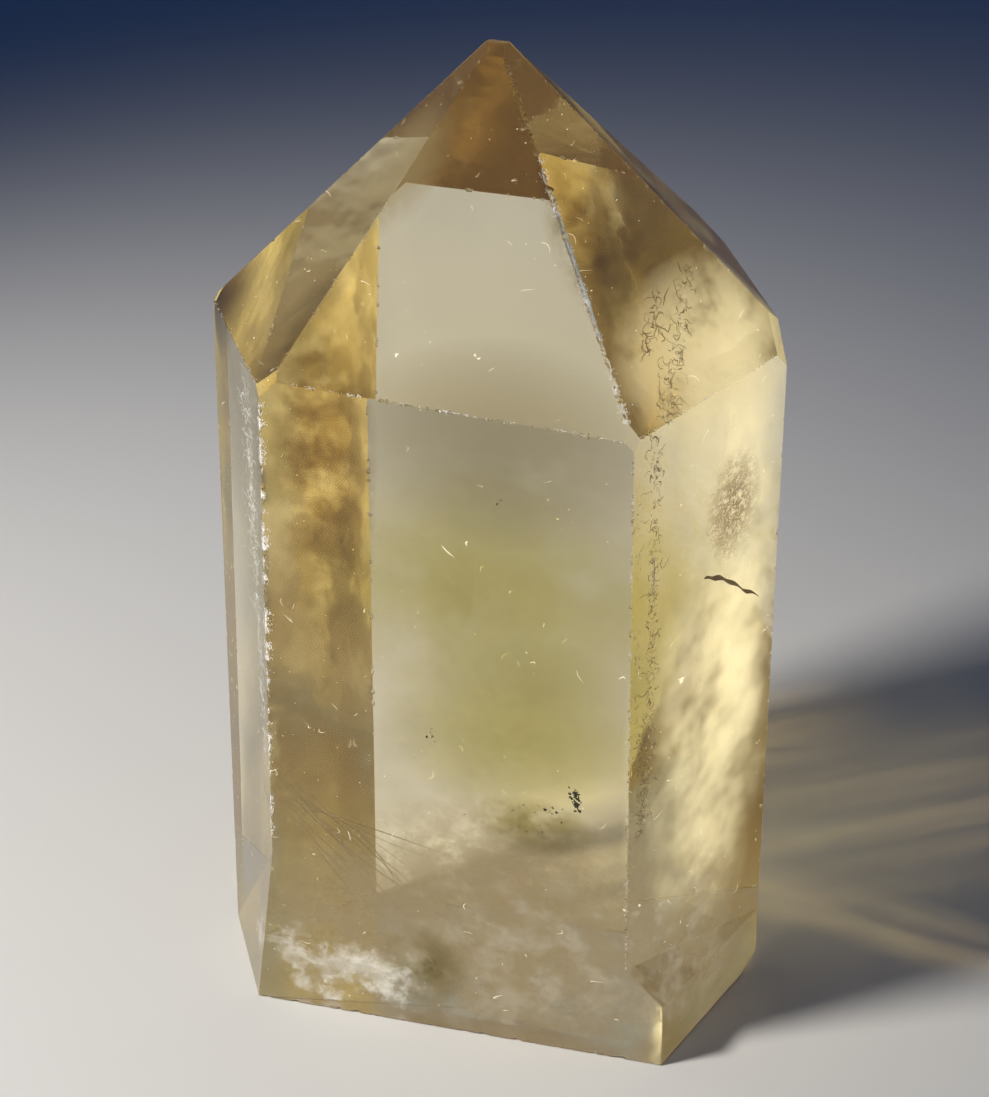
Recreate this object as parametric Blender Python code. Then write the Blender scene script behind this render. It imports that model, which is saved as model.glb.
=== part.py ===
"""Citrine crystal point: a polished six-sided quartz prism that ends in a six-sided point.

The crystal stands on a flat foot. Its long axis is +Z, its widest side runs along X, and its broad
face looks towards -Y. All lengths are in metres.
"""

import math

import bmesh
import bpy
from mathutils import Vector
from mathutils.geometry import intersect_line_plane, intersect_plane_plane

MM = 0.001

# Where the six long faces are measured, as a height above the foot
GIRTH_HEIGHT = 30.0 * MM

# The long faces: the way the face looks (degrees from +X), how far its normal leans up (degrees),
# and its distance from the crystal's axis at GIRTH_HEIGHT
PRISM_FACES = {
    "front": (-103.3, 0.25, 12.6 * MM),
    "right": (-43.6, 1.05, 18.25 * MM),
    "back_right": (16.7, 0.4, 20.3 * MM),
    "back": (76.7, 0.6, 15.2 * MM),
    "back_left": (137.1, 0.1, 16.95 * MM),
    "left": (-159.1, 0.7, 19.55 * MM),
}

# The faces of the point: the way the face looks (degrees from +X), its slope (degrees from level),
# and the height at which it would meet the crystal's axis
POINT_FACES = {
    "point_front": (-102.1, 62.6, 85.0 * MM),
    "point_right": (-44.2, 54.1, 85.0 * MM),
    "point_back_right": (16.9, 49.4, 85.4 * MM),
    "point_back": (76.7, 54.7, 85.0 * MM),
    "point_back_left": (137.1, 54.0, 85.4 * MM),
    "point_left": (-154.3, 51.6, 85.0 * MM),
}

# The worn tip: a level top, and a flake off its front side with its slope in degrees from level
TIP_HEIGHT = 84.35 * MM
TIP_FLAKE_HEIGHT = 84.33 * MM
TIP_FLAKE_SLOPE = 45.0

# Nicks where a long edge meets the point: how far below the corner each one starts, and how far
# its normal rises (degrees)
SHOULDER_NICKS = {
    ("front", "right"): 0.7 * MM,
    ("left", "front"): 0.6 * MM,
    ("right", "back_right"): 1.4 * MM,
    ("back_right", "back"): 0.5 * MM,
    ("back", "back_left"): 0.45 * MM,
    ("back_left", "left"): 0.4 * MM,
}
NICK_RISE = 24.0

# The corner knocked off the foot under the right back edge: how far up that edge it reaches, and
# how far its normal dips (degrees)
HEEL_NICK_HEIGHT = 1.0 * MM
HEEL_NICK_DIP = 40.0

# The spur at the foot's front right corner: how far it reaches out along the front face, where it
# leaves the long edge, and the height of its ledge at the front and at the back
SPUR_REACH = 3.1 * MM
SPUR_START_HEIGHT = 9.8 * MM
SPUR_LEDGE_FRONT_HEIGHT = 6.4 * MM
SPUR_LEDGE_BACK_HEIGHT = 5.7 * MM

# The flare at the foot's front left corner: how far it reaches out along the front face, and where
# it leaves the long edge
FLARE_REACH = 1.55 * MM
FLARE_START_HEIGHT = 16.0 * MM

# The rounding that wear leaves on every edge
EDGE_WEAR = 0.12 * MM
EDGE_WEAR_STEPS = 2
EDGE_WEAR_LEAST_ANGLE = math.radians(3.0)

# Polished citrine
CITRINE_COLOUR = (0.60, 0.46, 0.22, 1.0)
CITRINE_ROUGHNESS = 0.04
CITRINE_METALLIC = 0.0
CITRINE_TRANSMISSION = 1.0
QUARTZ_IOR = 1.547

# A starting block that is larger than the crystal on every side
BLOCK_SIDE = 300.0 * MM

UP = Vector((0.0, 0.0, 1.0))
FOOT_CENTRE = Vector((0.0, 0.0, 0.0))


def clear_scene():
    """Remove everything that is in the scene."""
    for existing in list(bpy.data.objects):
        bpy.data.objects.remove(existing, do_unlink=True)


def outward(azimuth, rise):
    """Return the unit vector that looks azimuth degrees from +X and rises by rise degrees."""
    level = math.cos(math.radians(rise))
    across = level * math.cos(math.radians(azimuth))
    along = level * math.sin(math.radians(azimuth))
    return Vector((across, along, math.sin(math.radians(rise))))


def prism_plane(name):
    """Return a point on a long face, and the face's normal."""
    azimuth, lean, distance = PRISM_FACES[name]
    point = outward(azimuth, 0.0) * distance + UP * GIRTH_HEIGHT
    return point, outward(azimuth, lean)


def point_plane(name):
    """Return a point on a face of the crystal's point, and the face's normal."""
    azimuth, slope, height = POINT_FACES[name]
    return UP * height, outward(azimuth, 90.0 - slope)


def cut(shape, point, normal, facet_name=""):
    """Cut away what lies beyond a plane, and close the cut with one facet of the given name."""
    facet = shape.faces.layers.string["facet"]
    geometry = list(shape.verts) + list(shape.edges) + list(shape.faces)
    sliced = bmesh.ops.bisect_plane(
        shape, geom=geometry, plane_co=point, plane_no=normal, clear_outer=True
    )
    rim = [item for item in sliced["geom_cut"] if isinstance(item, bmesh.types.BMEdge)]
    closed = bmesh.ops.edgeloop_fill(shape, edges=rim)
    for face in closed["faces"]:
        face[facet] = facet_name.encode()


def cut_faces(shape):
    """Cut a block by its foot, its six long faces and the six faces of its point."""
    cut(shape, FOOT_CENTRE, -UP, "foot")
    for name in PRISM_FACES:
        cut(shape, *prism_plane(name), name)
    for name in POINT_FACES:
        cut(shape, *point_plane(name), name)


def shared_edge(shape, first, second):
    """Return the edge where two facets meet."""
    facet = shape.faces.layers.string["facet"]
    wanted = {first.encode(), second.encode()}
    for edge in shape.edges:
        if {face[facet] for face in edge.link_faces} == wanted:
            return edge
    raise ValueError(f"{first} and {second} do not meet")


def ends_by_height(edge):
    """Return an edge's lower end and its upper end."""
    return sorted(edge.verts, key=lambda vertex: vertex.co.z)


def blunt_tip(shape):
    """Wear the tip down to a level top with a flake off its front side."""
    front_azimuth = POINT_FACES["point_front"][0]
    flake_normal = outward(front_azimuth, 90.0 - TIP_FLAKE_SLOPE)
    cut(shape, UP * TIP_HEIGHT, UP)
    cut(shape, UP * TIP_FLAKE_HEIGHT, flake_normal)


def nick_shoulders(shape):
    """Nick each corner where a long edge meets the point."""
    for (first, second), drop in SHOULDER_NICKS.items():
        corner = ends_by_height(shared_edge(shape, first, second))[1].co
        between = prism_plane(first)[1] + prism_plane(second)[1]
        azimuth = math.degrees(math.atan2(between.y, between.x))
        cut(shape, corner - UP * drop, outward(azimuth, NICK_RISE))


def nick_heel(shape, heel):
    """Knock the corner off the foot at the heel, under the right back edge."""
    between = prism_plane("right")[1] + prism_plane("back_right")[1]
    azimuth = math.degrees(math.atan2(between.y, between.x))
    cut(shape, heel + UP * HEEL_NICK_HEIGHT, outward(azimuth, -HEEL_NICK_DIP))


def split_at_height(edge, height):
    """Add a corner on an edge at a height, and return it."""
    low, high = ends_by_height(edge)
    share = (height - low.co.z) / (high.co.z - low.co.z)
    return bmesh.utils.edge_split(edge, low, share)[1]


def crease(first, second):
    """Cut the facet that holds two corners along the line from one to the other."""
    for face in first.link_faces:
        if face in second.link_faces:
            bmesh.utils.face_split(face, first, second)
            return
    raise ValueError("the two corners share no facet")


def along_front():
    """Return the level direction along the front face, towards its right side."""
    return UP.cross(prism_plane("front")[1]).normalized()


def corner_on_front(first, second, third, height):
    """Return where the plane through three points crosses the front face at a height."""
    normal = (second - first).cross(third - first).normalized()
    start, direction = intersect_plane_plane(first, normal, *prism_plane("front"))
    return intersect_line_plane(start, start + direction, UP * height, UP)


def grow_spur(shape):
    """Draw out the foot's front right corner along the front face, under a sloping ledge."""
    front_edge = shared_edge(shape, "front", "right")
    back_edge = shared_edge(shape, "right", "back_right")
    toe = ends_by_height(front_edge)[0]
    heel = ends_by_height(back_edge)[0]
    start = split_at_height(front_edge, SPUR_START_HEIGHT)
    ledge_back = split_at_height(back_edge, SPUR_LEDGE_BACK_HEIGHT)
    crease(start, ledge_back)
    lower_edge = [edge for edge in toe.link_edges if start in edge.verts][0]
    ledge_front = split_at_height(lower_edge, SPUR_LEDGE_FRONT_HEIGHT)
    crease(ledge_front, ledge_back)
    toe.co += along_front() * SPUR_REACH
    ledge_front.co = corner_on_front(toe.co, heel.co, ledge_back.co, SPUR_LEDGE_FRONT_HEIGHT)


def grow_flare(shape):
    """Draw out the foot's front left corner along the front face."""
    front_edge = shared_edge(shape, "left", "front")
    toe = ends_by_height(front_edge)[0]
    heel = ends_by_height(shared_edge(shape, "back_left", "left"))[0]
    start = split_at_height(front_edge, FLARE_START_HEIGHT)
    crease(start, heel)
    toe.co -= along_front() * FLARE_REACH


def stand_on_origin(shape):
    """Move the crystal so that the middle of its outline is over the origin."""
    across = [vertex.co.x for vertex in shape.verts]
    along = [vertex.co.y for vertex in shape.verts]
    middle = Vector((min(across) + max(across), min(along) + max(along), 0.0)) / 2.0
    bmesh.ops.translate(shape, vec=-middle, verts=shape.verts)


def crystal_mesh():
    """Return the mesh of the whole crystal, with flat facets."""
    shape = bmesh.new()
    shape.faces.layers.string.new("facet")
    bmesh.ops.create_cube(shape, size=BLOCK_SIDE)
    cut_faces(shape)
    blunt_tip(shape)
    nick_shoulders(shape)
    heel = ends_by_height(shared_edge(shape, "right", "back_right"))[0].co.copy()
    grow_spur(shape)
    grow_flare(shape)
    nick_heel(shape, heel)
    stand_on_origin(shape)
    bmesh.ops.recalc_face_normals(shape, faces=shape.faces)
    mesh = bpy.data.meshes.new("crystal_point")
    shape.to_mesh(mesh)
    shape.free()
    return mesh


def citrine_material():
    """Return the material of clear, polished, honey-yellow quartz."""
    material = bpy.data.materials.new("polished_citrine")
    material.use_nodes = True
    shader = material.node_tree.nodes["Principled BSDF"]
    shader.inputs["Base Color"].default_value = CITRINE_COLOUR
    shader.inputs["Roughness"].default_value = CITRINE_ROUGHNESS
    shader.inputs["Metallic"].default_value = CITRINE_METALLIC
    shader.inputs["Transmission Weight"].default_value = CITRINE_TRANSMISSION
    shader.inputs["IOR"].default_value = QUARTZ_IOR
    return material


def wear_edges(crystal):
    """Round every edge of the crystal a little."""
    wear = crystal.modifiers.new("edge_wear", "BEVEL")
    wear.width = EDGE_WEAR
    wear.segments = EDGE_WEAR_STEPS
    wear.limit_method = "ANGLE"
    wear.angle_limit = EDGE_WEAR_LEAST_ANGLE


def build_crystal():
    """Make the crystal point, standing on its foot."""
    crystal = bpy.data.objects.new("crystal_point", crystal_mesh())
    bpy.context.scene.collection.objects.link(crystal)
    crystal.data.materials.append(citrine_material())
    wear_edges(crystal)


clear_scene()
build_crystal()
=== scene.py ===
import math

import bmesh
import bpy
import numpy as np
from bpy.props import FloatProperty, FloatVectorProperty, IntProperty, PointerProperty
from mathutils import Matrix, Vector


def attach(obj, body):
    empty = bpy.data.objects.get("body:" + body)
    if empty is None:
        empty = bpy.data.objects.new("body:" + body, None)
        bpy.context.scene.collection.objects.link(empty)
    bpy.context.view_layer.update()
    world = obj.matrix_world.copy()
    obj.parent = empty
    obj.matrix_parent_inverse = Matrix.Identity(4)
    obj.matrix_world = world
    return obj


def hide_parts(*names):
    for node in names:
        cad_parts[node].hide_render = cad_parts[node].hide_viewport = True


bl_info = {
    "name": "Citrine Crystal Point",
    "version": (1, 0, 0),
    "blender": (4, 5, 0),
    "location": "View3D > Sidebar > Citrine",
    "description": "Dresses a citrine crystal point: polish, worn edges, veils and inclusions",
    "category": "Object",
}

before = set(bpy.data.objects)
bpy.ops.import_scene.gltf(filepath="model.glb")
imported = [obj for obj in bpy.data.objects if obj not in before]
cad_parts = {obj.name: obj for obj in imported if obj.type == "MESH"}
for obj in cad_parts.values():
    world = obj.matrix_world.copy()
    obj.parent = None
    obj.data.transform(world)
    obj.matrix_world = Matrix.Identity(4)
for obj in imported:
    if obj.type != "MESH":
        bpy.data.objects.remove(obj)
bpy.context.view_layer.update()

MM = 0.001
NODE = "crystal_point"
BODY = "root"
QUARTZ_IOR = 1.547
WHITE = (1, 1, 1, 1)
UP = (0, 0, 1)

# Where each step's own random draws start.
SEEDS = {"stone": 7, "bruises": 11, "veils": 23, "needles": 31, "specks": 43, "crack": 59}

# Which way each facet looks: compass angle from +X towards +Y, and tilt up from level.
FACET_ANGLES = {
    "front": (-103, 0),
    "right": (-44, 0),
    "back_right": (17, 0),
    "back": (77, 0),
    "back_left": (137, 0),
    "left": (-159, 0),
    "point_front": (-102, 27),
    "point_right": (-44, 36),
    "point_back_right": (17, 41),
    "point_back": (77, 35),
    "point_back_left": (137, 36),
    "point_left": (-154, 38),
    "base": (0, -90),
}
# Cosine of the widest angle between a facet's listed direction and its own.
SAME_WAY = 0.98
# How far from a facet's plane in mm a corner may lie and still count as on it.
EDGE_SLACK = 0.2


# ---- small tools


def linear(hex_colour):
    """Turn an sRGB hex colour such as "#8a6b3c" into linear red, green and blue."""
    channels = [int(hex_colour[i : i + 2], 16) / 255.0 for i in (1, 3, 5)]
    return tuple(c / 12.92 if c <= 0.04045 else ((c + 0.055) / 1.055) ** 2.4 for c in channels)


def add_node(tree, kind, links=None, values=None, **settings):
    """Add a shader node, set its properties and its input values, and link its inputs, each to a
    socket or to the first output of a node."""
    node = tree.nodes.new(kind)
    for name, value in settings.items():
        setattr(node, name, value)
    for key, value in (values or {}).items():
        node.inputs[key].default_value = value
    for key, source in (links or {}).items():
        socket = source.outputs[0] if isinstance(source, bpy.types.Node) else source
        tree.links.new(socket, node.inputs[key])
    return node


def span(low, high, start=0.0, stop=1.0):
    """Input values of a Map Range node: the range it reads, and the range it gives."""
    return {"From Min": low, "From Max": high, "To Min": start, "To Max": stop}


def new_material(name):
    """Return a new material and its node tree, empty."""
    material = bpy.data.materials.new(name)
    material.use_nodes = True
    material.cycles.emission_sampling = "NONE"
    material.node_tree.nodes.clear()
    return material, material.node_tree


def new_object(name, points_mm, faces, attributes=None):
    """Make a mesh object from points in millimetres, faces, and one value per point for each attribute."""
    mesh = bpy.data.meshes.new(name)
    mesh.from_pydata((np.asarray(points_mm) * MM).tolist(), [], [list(face) for face in faces])
    for key, values in (attributes or {}).items():
        layer = mesh.attributes.new(key, "FLOAT", "POINT")
        layer.data.foreach_set("value", np.asarray(values, dtype=np.float32).ravel())
    mesh.update()
    piece = bpy.data.objects.new(name, mesh)
    bpy.context.scene.collection.objects.link(piece)
    return piece


def add_inclusion(name, mesh, material, attributes=None):
    """Make a piece sealed in the stone from its (points, faces), and let it ride with the stone."""
    piece = new_object(name, *mesh, attributes)
    piece.data.materials.append(material)
    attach(piece, BODY)


def unit(vectors):
    """Scale vectors to length one."""
    vectors = np.asarray(vectors, dtype=float)
    return vectors / np.linalg.norm(vectors, axis=-1, keepdims=True)


def direction(compass, tilt):
    """Unit vector from a compass angle and a tilt, in degrees."""
    compass, tilt = math.radians(compass), math.radians(tilt)
    flat = math.cos(tilt)
    return np.array([flat * math.cos(compass), flat * math.sin(compass), math.sin(tilt)])


def across_and_up(facing):
    """The two unit axes of a plane that looks along `facing`: level across it, and up it."""
    across = unit(np.cross(UP, facing))
    return across, np.cross(facing, across)


# ---- the stone's own facets


def clean_stone_mesh():
    """Copy the CAD node's mesh and join its loose triangles into one closed skin of flat facets."""
    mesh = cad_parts[NODE].data.copy()
    skin = bmesh.new()
    skin.from_mesh(mesh)
    merge_distance = 0.001 * MM
    bmesh.ops.remove_doubles(skin, verts=skin.verts, dist=merge_distance)
    bmesh.ops.dissolve_degenerate(skin, edges=skin.edges, dist=merge_distance)
    skin.to_mesh(mesh)
    skin.free()
    # Every facet is dead flat, so the stored shading normals are not wanted.
    if "custom_normal" in mesh.attributes:
        mesh.attributes.remove(mesh.attributes["custom_normal"])
    mesh.polygons.foreach_set("use_smooth", [False] * len(mesh.polygons))
    return mesh


def face_planes(mesh):
    """Each face's unit normal, centre in mm and area."""
    count = len(mesh.polygons)
    normals, centres, areas = np.empty(count * 3), np.empty(count * 3), np.empty(count)
    mesh.polygons.foreach_get("normal", normals)
    mesh.polygons.foreach_get("center", centres)
    mesh.polygons.foreach_get("area", areas)
    return normals.reshape(-1, 3), centres.reshape(-1, 3) / MM, areas


def read_facets():
    """Read each named facet's plane off the stone: unit normal and distance from the origin in mm."""
    normals, centres, areas = face_planes(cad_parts[NODE].data)
    facets = {}
    for name, angles in FACET_ANGLES.items():
        best = int(np.argmax(areas * (normals @ direction(*angles) > SAME_WAY)))
        facets[name] = (normals[best], float(normals[best] @ centres[best]))
    return facets


FACETS = read_facets()
POINTS_MM = np.array([vertex.co[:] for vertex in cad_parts[NODE].data.vertices]) / MM


def edge_ends(first, second):
    """Ends in mm of the edge that two facets share, the lower one first: the furthest corners that
    are close to both planes."""
    (n1, d1), (n2, d2) = FACETS[first], FACETS[second]
    near = (abs(POINTS_MM @ n1 - d1) < EDGE_SLACK) & (abs(POINTS_MM @ n2 - d2) < EDGE_SLACK)
    along = unit(np.cross(n1, n2))
    base = np.linalg.solve(np.array([n1, n2, along]), np.array([d1, d2, 0.0]))
    run = (POINTS_MM[near] - base) @ along
    return sorted((base + along * run.min(), base + along * run.max()), key=lambda end: end[2])


def on_facet(name, x, z):
    """Point in mm on a facet's plane at the given x and z."""
    normal, distance = FACETS[name]
    y = (distance - normal[0] * x - normal[2] * z) / normal[1]
    return np.array([x, y, z])


def keep_inside(points, margin):
    """Push points in mm back through any facet plane they cross, to `margin` inside it."""
    points = np.array(points, dtype=float)
    for normal, distance in FACETS.values():
        over = np.maximum(points @ normal - (distance - margin), 0.0)
        points -= over[..., None] * normal
    return points


# ---- numpy surfaces

# How far inside the facets pieces are held, in mm: marks on the skin, flakes under it, threads
# under it, whole sheets and grains, and what lies deeper.
SKIN, FLAKE_DEPTH, THREAD_DEPTH, SHEET_DEPTH, DEEP = 0.02, 0.06, 0.05, 0.25, 0.3

# Sheets of veils and zones: points to a side, the paces of the sines that wave them, a factor on
# those paces, and the widest turn and phase.
SHEET_STEPS = 40
WAVE_PACES = (1.5, 2.4, 3.7, 5.1)
WAVE_RATE = 1.6
WAVE_TURN = 6.28


def grid_faces(rows, columns):
    """Four-cornered faces of a grid of points that is stored row by row."""
    index = np.arange(rows * columns).reshape(rows, columns)
    corners = [index[:-1, :-1], index[1:, :-1], index[1:, 1:], index[:-1, 1:]]
    return np.stack(corners, axis=-1).reshape(-1, 4).tolist()


def ball_grid(rings, spokes):
    """Unit ball from two angles: rings of latitude between two poles, closed at both. Faces look outward."""
    polar = np.linspace(0, math.pi, rings + 2)[1:-1]
    turn = np.linspace(0, math.tau, spokes, endpoint=False)
    ring, spoke = np.meshgrid(polar, turn, indexing="ij")
    body = np.stack([np.sin(ring) * np.cos(spoke), np.sin(ring) * np.sin(spoke), np.cos(ring)], axis=-1)
    points = np.concatenate([[[0, 0, 1]], body.reshape(-1, 3), [[0, 0, -1]]])
    index = 1 + np.arange(rings * spokes).reshape(rings, spokes)
    following = np.roll(index, -1, axis=1)
    quads = np.stack([index[:-1], index[1:], following[1:], following[:-1]], axis=-1).reshape(-1, 4)
    top = np.stack([np.zeros(spokes, int), index[0], following[0]], axis=-1)
    last = len(points) - 1
    bottom = np.stack([np.full(spokes, last), following[-1], index[-1]], axis=-1)
    return points, [*quads.tolist(), *top.tolist(), *bottom.tolist()]


def many_lumps(centres, axes, sizes, rng, ragged, rings, spokes):
    """One joined mesh of lumps: a unit ball, each vertex pushed in or out by up to `ragged`, stretched
    by three half-sizes along the lump's own three axes and set at its centre."""
    ball, faces = ball_grid(rings, spokes)
    count = len(centres)
    push = 1 + rng.uniform(-ragged, ragged, (count, len(ball), 1))
    local = ball[None] * push * np.asarray(sizes)[:, None, :]
    points = np.asarray(centres)[:, None, :] + np.einsum("nmk,nkj->nmj", local, np.asarray(axes))
    joined = [[corner + lump * len(ball) for corner in face] for lump in range(count) for face in faces]
    return points.reshape(-1, 3), joined


def turned_axes(normal, along, angles):
    """For each angle, three unit axes: `along` turned about `normal`, the one across it, and `normal`."""
    normal = np.broadcast_to(unit(normal), (len(angles), 3))
    along = np.broadcast_to(along, (len(angles), 3))
    along = unit(along - normal * np.sum(normal * along, axis=1, keepdims=True))
    across = np.cross(normal, along)
    cos, sin = np.cos(angles)[:, None], np.sin(angles)[:, None]
    first = along * cos + across * sin
    return np.stack([first, np.cross(normal, first), normal], axis=1)


def random_axes(count, rng):
    """For each of `count` lumps, three unit axes turned at random."""
    normals = unit(rng.normal(0, 1, (count, 3)))
    first = unit(np.cross(normals, rng.normal(0, 1, (count, 3))))
    return np.stack([first, np.cross(normals, first), normals], axis=1)


def bowed_paths(starts, reach, bend, steps):
    """Paths start + t * reach + sin(pi * t) * bend, for t in even steps from 0 to 1."""
    run = np.linspace(0, 1, steps)[None, :, None]
    return starts[:, None] + reach[:, None] * run + bend * np.sin(run * math.pi)


def sheet_grid(centre, half_width, half_height, compass, tilt, waves, rng):
    """Wavy sheet: centre + u * across + v * up over a square grid, pushed off its plane by a few sines
    of random direction. The fade value runs from 1 in the middle to 0 at an oval rim."""
    normal = direction(compass, tilt)
    across, up = across_and_up(normal)
    line = np.linspace(-1, 1, SHEET_STEPS)
    u, v = np.meshgrid(line, line, indexing="ij")
    turns, phases = rng.uniform(0, WAVE_TURN, len(WAVE_PACES)), rng.uniform(0, WAVE_TURN, len(WAVE_PACES))
    lift = np.zeros_like(u)
    for turn, phase, pace in zip(turns, phases, WAVE_PACES):
        lift += np.sin(pace * (u * math.cos(turn) + v * math.sin(turn)) * WAVE_RATE + phase) / pace
    points = (
        np.asarray(centre)
        + (u * half_width)[..., None] * across
        + (v * half_height)[..., None] * up
        + (lift * waves)[..., None] * normal
    )
    fade = np.clip(1 - (u**2 + v**2), 0, 1)
    return keep_inside(points.reshape(-1, 3), SHEET_DEPTH), grid_faces(*u.shape), fade.ravel()


def thread_tubes(paths, radii, sides=3):
    """Joined thin tubes: a `sides`-cornered ring carried along each path of points, pointed at both ends."""
    paths = np.asarray(paths, dtype=float)
    count, steps, _ = paths.shape
    tangent = unit(np.gradient(paths, axis=1) + 1e-12)
    helper = np.where(abs(tangent[..., 2:3]) > 0.9, [1.0, 0.0, 0.0], [0.0, 0.0, 1.0])
    side = unit(np.cross(tangent, helper))
    other = np.cross(tangent, side)
    angle = np.linspace(0, math.tau, sides, endpoint=False)
    taper = np.sin(np.linspace(0, math.pi, steps)) ** 0.5 + 0.05
    radius = np.asarray(radii)[:, None] * taper[None]
    ring = side[:, :, None] * np.cos(angle)[:, None] + other[:, :, None] * np.sin(angle)[:, None]
    points = paths[:, :, None] + ring * radius[:, :, None, None]
    index = np.arange(count * steps * sides).reshape(count, steps, sides)
    following = np.roll(index, -1, axis=2)
    quads = np.stack([index[:, :-1], index[:, 1:], following[:, 1:], following[:, :-1]], axis=-1)
    caps = np.concatenate([index[:, 0], index[:, -1, ::-1]])
    return points.reshape(-1, 3), [*quads.reshape(-1, 4).tolist(), *caps.tolist()]


def join_meshes(meshes):
    """Join several (points, faces) pairs into one pair."""
    points, faces, start = [], [], 0
    for part_points, part_faces in meshes:
        points.append(part_points)
        faces += [[corner + start for corner in face] for face in part_faces]
        start += len(part_points)
    return np.concatenate(points), faces


# ---- settings


def colour_setting(name, description, hex_colour):
    """A colour that a user may change."""
    return FloatVectorProperty(
        name=name,
        description=description,
        subtype="COLOR",
        size=3,
        default=linear(hex_colour),
        min=0.0,
        max=1.0,
    )


def length_setting(name, description, default_mm, least_mm):
    """A length that a user may change."""
    return FloatProperty(
        name=name,
        description=description,
        default=default_mm * MM,
        min=least_mm * MM,
        unit="LENGTH",
    )


class StoneSettings(bpy.types.PropertyGroup):
    """Sizes and colours of the stone itself."""

    tint: colour_setting("Tint", "Colour that light keeps after one absorption length of stone", "#f0e194")
    depth_of_tint: FloatProperty(
        name="Depth of tint",
        description="Absorption lengths in a metre of stone",
        default=20.0,
        min=0.0,
    )
    chip_size: length_setting("Chip size", "Middle length of a chip on a worn edge", 0.75, 0.1)
    wave_length: length_setting(
        "Polish wave", "Distance between the slight waves that hand polishing leaves", 7.0, 1.0
    )


class InclusionSettings(bpy.types.PropertyGroup):
    """What is sealed in the stone."""

    cloud_colour: colour_setting("Cloud", "Colour of the milky clouds at the foot", "#f1ece0")
    zone_colour: colour_setting("Colour zone", "What the yellow-green growth zone lets through", "#dfdb9c")
    speck_colour: colour_setting("Green specks", "Colour of the small chlorite grains", "#39431f")
    dust_count: IntProperty(
        name="Bright specks",
        description="How many tiny bubbles and flakes glint inside the stone",
        default=420,
        min=0,
    )


class StudioSettings(bpy.types.PropertyGroup):
    """Floor, lamp and sky."""

    floor_colour: colour_setting("Floor", "Colour of the pale floor", "#e9e6e0")
    lamp_height: length_setting("Lamp height", "Height of the lamp over the floor", 225, 50)
    lamp_power: FloatProperty(
        name="Lamp power",
        description="Power of the lamp",
        default=2.82,
        min=0.0,
        unit="POWER",
    )


# ---- materials

# The colour sockets of a Mix node: two inputs and the output.
MIX_A, MIX_B, MIX_OUT = 6, 7, 2

# Between these two Y in mm the well polished near facets give way to the far ones.
FAR_FROM, FAR_TO = -4, 6
FAR_ROUGHNESS = 0.08
BASE_ROUGHNESS = 0.22
BREAK_ROUGHNESS = 0.28
# Polish waves: strength on the near and the far facets, and height in mm.
NEAR_WAVE, FAR_WAVE = 0.03, 0.9
WAVE_HEIGHT = 0.10
# Dust on the sawn base: its colour, patch size in mm, and least and most cover.
DUST_COLOUR = "#a8853f"
DUST_PATCH = 4.0
DUST_COVER = (0.30, 0.60)


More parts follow.
